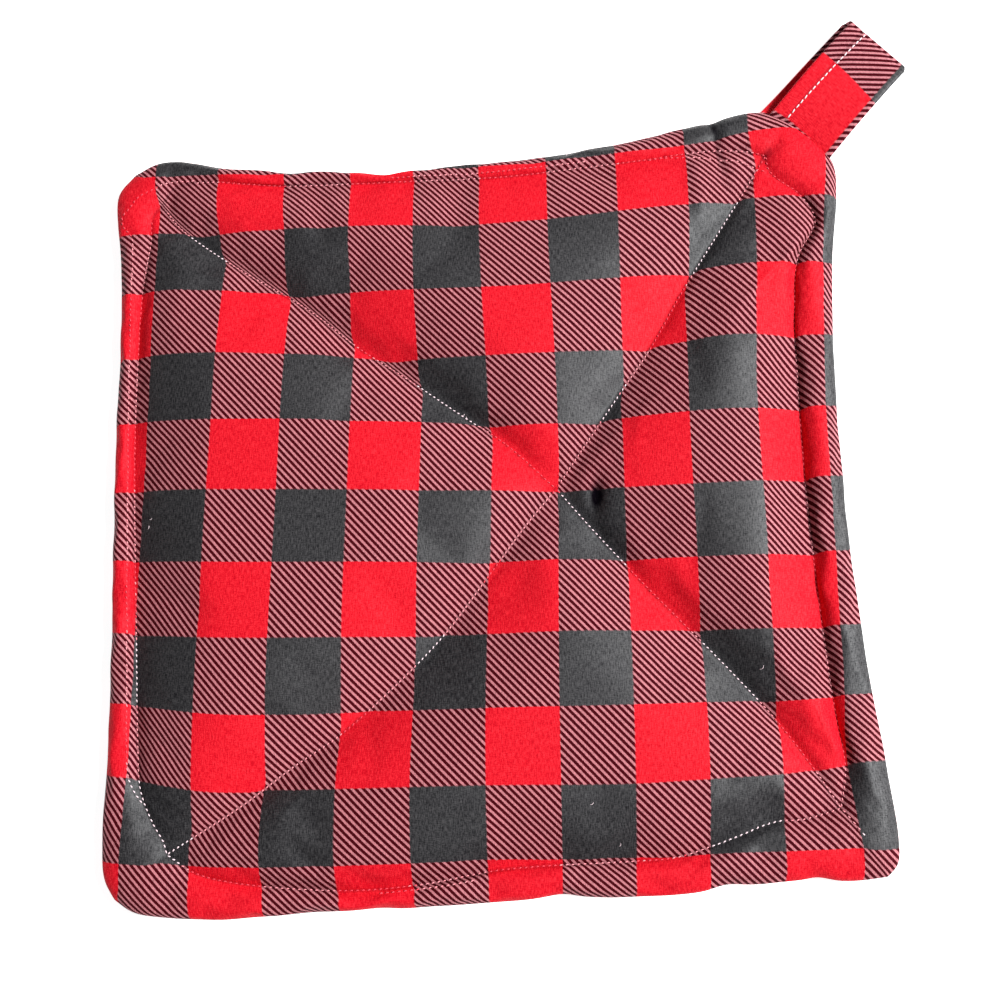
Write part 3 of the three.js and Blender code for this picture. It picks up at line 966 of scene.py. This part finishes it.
pad_tree = surface_tree(pad)
diagonals = [part_of_row(arm, shares) for arm, shares in zip(ARMS, ARM_SHARES)]
top_row, left_row = part_of_row(SEAMS[1], TOP_SHARES), part_of_row(SEAMS[2], LEFT_SHARES)
outer_rows = [SEAMS[0], top_row, left_row, SEAMS[3]] + [smooth_curve(rows) for rows in OTHER_ROWS]
sew("quilting", diagonals, pad_tree, *QUILTED, dye=red_under)
sew("topstitching", outer_rows, pad_tree, *TOPSTITCHED, dye=red_under)
sew("back_quilting", diagonals, pad_tree, *QUILTED, from_above=False)
sew("back_topstitching", SEAMS, pad_tree, *TOPSTITCHED, from_above=False)

# Bits of lint and thread ends on the cloth. Columns are x, y, bearing, length.
LINT = (
    (-111, -8, 70, 1.6), (-110.4, -5.5, 20, 1.2), (78.7, -55, 45, 2.2), (27, -94, 35, 1.4),
    (35, -106, 60, 1.3), (-11, 26.5, 30, 1.6), (23.8, 114.6, 100, 1.7), (-10, 25.6, 80, 1.1),
)
LINT_THICKNESS = 0.15
LINT_BEND = 0.25  # of its length
LINT_STEP = 0.3  # beside its middle, to tell which way it runs


def cling(name, rows, tree):
    """One mesh of short fibres on a surface, each bent sideways by bend * length * t^2."""
    points, faces, count = [], [], 0
    for x, y, bearing, length in rows:
        shape, sides = stitch_shape(length, LINT_THICKNESS)
        shape[:, 1] += LINT_BEND * length * (2 * shape[:, 0] / length) ** 2
        turn = math.radians(bearing)
        place = np.array([[x, y]])
        step = LINT_STEP * np.array([[math.cos(turn), math.sin(turn)]])
        laid, joined, _ = lay_on(tree, place, place + step, place - step, shape, sides, True, np.zeros(1))
        points.append(laid)
        faces.append(joined + count)
        count += len(laid)
    mesh = new_mesh(name, np.vstack(points), np.vstack(faces))
    mesh.materials.append(pink_thread)
    new_piece(name, mesh)


cling("lint", LINT, pad_tree)


# The hanging loop
# A strip of the same cotton, folded lengthwise into four, topstitched near one edge, doubled
# over and caught in the pad's upper right corner; its legs stand a little apart.
STRIP_WIDTH = 24.6
STRIP_THICK = 1.4
LOOP_ROOT = np.array([101.5, 120.5])
LOOP_TIP = np.array([128.3, 150.8])
LOOP_Z = 4.9
ROOT_PARTING = 0.9
ROOT_TUCK = 1.4  # the legs go on into the seam at the pad's edge
FOLD_RADIUS = 1.5
LEG_SWELL = 2.55
SWELL_FULLNESS = 0.62
REAR_SKEW_ROOT = 3.6  # the rear leg lies this far left of the front one
REAR_SKEW_FOLD = 2.4
REAR_SKEW_POWER = 3
LOOP_SIDE = 0.6  # the front leg's middle lies this far right of the line to the tip
FOLD_SLANT = 0.1  # the fold runs back by this much for each millimetre to the right
FOLD_SHORT = 1.7  # and at its middle ends this far short of the tip
LOOP_WAVER = (0.12, 9, 31)
LEG_STEPS = 60
FOLD_STEPS = 14
ACROSS_STEPS = 36
TOPSTITCH_IN = 6.0  # from the strip's left edge
STITCH_DIP = 0.16  # how deep the topstitching draws the strip in
STITCH_DIP_REACH = 0.8
EDGE_ROUND = 4  # points round each folded edge
BESIDE_LOOP = 25  # the pad's edge counts within this distance of the loop's line
RIM_STEPS = 400

loop_length = float(np.linalg.norm(LOOP_TIP - LOOP_ROOT))
leg_length = loop_length - FOLD_RADIUS
along_loop = (LOOP_TIP - LOOP_ROOT) / loop_length
across_loop = np.array([along_loop[1], -along_loop[0]])
rim_fine = np.vstack([rim_at(side, np.linspace(0, 1, RIM_STEPS)) for side in (0, 1)]) - LOOP_ROOT
rim_fine = rim_fine[abs(rim_fine @ across_loop) < BESIDE_LOOP]
rim_fine = rim_fine[np.argsort(rim_fine @ across_loop)]


def edge_reach(across):
    """How far along the loop the turned edge reaches at a place across it."""
    return np.interp(across, rim_fine @ across_loop, rim_fine @ along_loop)


def strip_section():
    """Round the strip: flat upper and lower faces joined by half circles at the folded edges.
    Both faces dip at the topstitching by dip * exp(-(distance / reach)^2)."""
    thick = STRIP_THICK / 2
    flat = STRIP_WIDTH / 2 - thick
    a = np.linspace(-flat, flat, ACROSS_STEPS)
    dip = STITCH_DIP * np.exp(-(((a + STRIP_WIDTH / 2 - TOPSTITCH_IN) / STITCH_DIP_REACH) ** 2))
    turn = np.linspace(np.pi / 2, -np.pi / 2, EDGE_ROUND + 2)[1:-1]
    right = np.stack([flat + thick * np.cos(turn), thick * np.sin(turn)], 1)
    upper = np.stack([a, thick - dip], 1)
    lower = np.stack([a[::-1], -(thick - dip[::-1])], 1)
    return np.vstack([upper, right, lower, -right])


def loop_middle():
    """Share, along, rise and rear share of the stations: rear leg out, round the fold, front leg
    back. Each leg bows by swell * sin(pi * share)^fullness."""
    share = np.arange(LEG_STEPS) / LEG_STEPS
    bow = LEG_SWELL * np.sin(np.pi * share) ** SWELL_FULLNESS
    rise = ROOT_PARTING + (FOLD_RADIUS - ROOT_PARTING) * share + bow
    angle = np.pi * (np.arange(FOLD_STEPS + 1) / FOLD_STEPS - 0.5)
    fold = leg_length + FOLD_RADIUS * np.cos(angle)
    along = np.concatenate([share * leg_length, fold, share[::-1] * leg_length])
    rises = np.concatenate([-rise, FOLD_RADIUS * np.sin(angle), rise[::-1]])
    shares = np.concatenate([share, np.ones(FOLD_STEPS + 1), share[::-1]])
    rear = np.concatenate([np.ones(LEG_STEPS), np.linspace(1, 0, FOLD_STEPS + 1), np.zeros(LEG_STEPS)])
    return shares, along, rises, rear


def loop_surface():
    """The section carried along the middle line, square to it, its root cut to the pad's edge.
    Also how far each station lies along the strip, and each point across it."""
    section = strip_section()
    shares, along, rises, rear = loop_middle()
    run, climb = np.gradient(along), np.gradient(rises)
    length = np.hypot(run, climb)
    lean, upright = climb / length, run / length
    skew = rear * (REAR_SKEW_ROOT + (REAR_SKEW_FOLD - REAR_SKEW_ROOT) * shares**REAR_SKEW_POWER)
    across = section[None, :, 0] - skew[:, None] + LOOP_SIDE
    start = edge_reach(across) - ROOT_TUCK
    legs = start + (leg_length - start) * shares[:, None]
    place = np.where(shares[:, None] < 1, legs, along[:, None]) + lean[:, None] * section[None, :, 1]
    place -= shares[:, None] * (FOLD_SHORT + FOLD_SLANT * across)
    flat = LOOP_ROOT + place[..., None] * along_loop + across[..., None] * across_loop
    height = LOOP_Z + rises[:, None] - upright[:, None] * section[None, :, 1]
    points = np.dstack([flat, height + lattice_noise(flat, LOOP_WAVER)])
    walked = np.append(0, np.cumsum(np.hypot(np.diff(along), np.diff(rises))))
    return points, walked, across + skew[:, None]


loop_points, loop_walked, loop_across = loop_surface()
stations, around = loop_points.shape[:2]
ring = np.arange(around)
tube = np.stack([ring, (ring + 1) % around, (ring + 1) % around + around, ring + around], 1)
loop_faces = (tube[None] + np.arange(stations - 1)[:, None, None] * around).reshape(-1, 4)

# Each end is closed by a ladder of faces between the section's upper and lower half
rung = np.arange(around // 2 - 1) - EDGE_ROUND // 2
partner = 2 * ACROSS_STEPS + EDGE_ROUND - 1 - rung
ladder = np.stack([rung, rung + 1, partner - 1, partner], 1) % around
far_ladder = ladder[:, ::-1] + (stations - 1) * around
loop_quads = np.vstack([loop_faces[:, ::-1], ladder, far_ladder])
loop_mesh = new_mesh("hanging_loop", in_frame(loop_points.reshape(-1, 3)), loop_quads)
hanging_loop = new_piece("hanging_loop", loop_mesh)
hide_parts("loop")

# Print on the loop: its columns run along the strip, so the hatching lies level in the picture
LOOP_CHECK = 23.4  # stretched a little when the strip was pressed
LOOP_PRINT_ALONG = 24.6  # from the root to the end of the red check
LOOP_PRINT_ACROSS = 10.9
LOOP_PRINT_SLANT = 0.1  # the strip was cut a little off the grain
from_root = np.minimum(loop_walked, loop_walked[-1] - loop_walked)
loop_u = 2 + (from_root[:, None] + LOOP_PRINT_SLANT * loop_across - LOOP_PRINT_ALONG) / LOOP_CHECK
loop_v = 1 + (loop_across - LOOP_PRINT_ACROSS) / LOOP_CHECK
loop_print_map = np.stack([loop_u, loop_v], -1).reshape(-1, 2)
keep_print(loop_mesh, loop_print_map[loop_quads])
loop_mesh.materials.append(printed_cotton("loop_cotton"))
# Distance from the loop's topstitching, for painted shade along it
keep(loop_mesh, "gap", abs(loop_across + STRIP_WIDTH / 2 - TOPSTITCH_IN).ravel())
flat_size = (STRIP_WIDTH * MM, loop_walked[-1] * MM)

# Its topstitching, in one straight row
LOOP_STITCHED = (1.95, 1.7, 0.46, 4)  # pitch, length, thread and slant
ROW_FROM_EDGE = 0.2
ROW_FROM_TIP = 1.5
ROW_DRIFT = 1.2  # how far in from the left edge it has come at the tip
row_side = TOPSTITCH_IN - STRIP_WIDTH / 2
row_start = along_loop * (edge_reach(row_side) + ROW_FROM_EDGE) + across_loop * row_side
row_end = along_loop * (loop_length - ROW_FROM_TIP) + across_loop * (row_side + ROW_DRIFT)
loop_row = smooth_curve(np.stack([LOOP_ROOT + row_start, LOOP_ROOT + row_end]))
sew("loop_stitches", [loop_row], surface_tree(hanging_loop), *LOOP_STITCHED)


# Floor and light
# A white table, a strong soft light from the right and a pale room all round.
FLOOR_HALF = 3.0
FLOOR_TONE = 0.93
FLOOR_ROUGHNESS = 0.9
FLOOR_GLOW = 0.85  # it is burnt out to white in the photograph
floor_corners = np.array([[-1, -1, 0], [1, -1, 0], [1, 1, 0], [-1, 1, 0]]) * FLOOR_HALF
floor_mesh = new_mesh("floor", floor_corners, np.array([[0, 1, 2, 3]]))
new_object("floor", floor_mesh)
floor_material, start = new_material("white_table")
start.surface(
    Base_Color=(FLOOR_TONE, FLOOR_TONE, FLOOR_TONE, 1),
    Roughness=FLOOR_ROUGHNESS,
    Emission_Color=(1, 1, 1, 1),
    Emission_Strength=FLOOR_GLOW,
)
floor_mesh.materials.append(floor_material)

LIGHT_BEARING = math.radians(8)  # from the right
LIGHT_HEIGHT = math.radians(47)
LIGHT_DISTANCE = 2.6
LIGHT_SIZE = 0.5
LIGHT_WATTS = 129
LIGHT_COLOUR = (0.98, 1.0, 1.0)
ROOM_LIGHT = 0.16
light_data = bpy.data.lights.new("key_light", "AREA")
light_data.size, light_data.energy, light_data.color = LIGHT_SIZE, LIGHT_WATTS, LIGHT_COLOUR
light = new_object("key_light", light_data)
level = math.cos(LIGHT_HEIGHT)
light_x, light_y = level * math.cos(LIGHT_BEARING), level * math.sin(LIGHT_BEARING)
towards_light = Vector((light_x, light_y, math.sin(LIGHT_HEIGHT)))
light.location = towards_light * LIGHT_DISTANCE
light.rotation_mode = "QUATERNION"
light.rotation_quaternion = (-towards_light).to_track_quat("-Z", "Y")

world = bpy.data.worlds.new("room")
scene.world = world
world.use_nodes = True
backdrop = world.node_tree.nodes["Background"].inputs
backdrop["Color"].default_value = (1, 1, 1, 1)
backdrop["Strength"].default_value = ROOM_LIGHT
scene.view_settings.view_transform = "Standard"
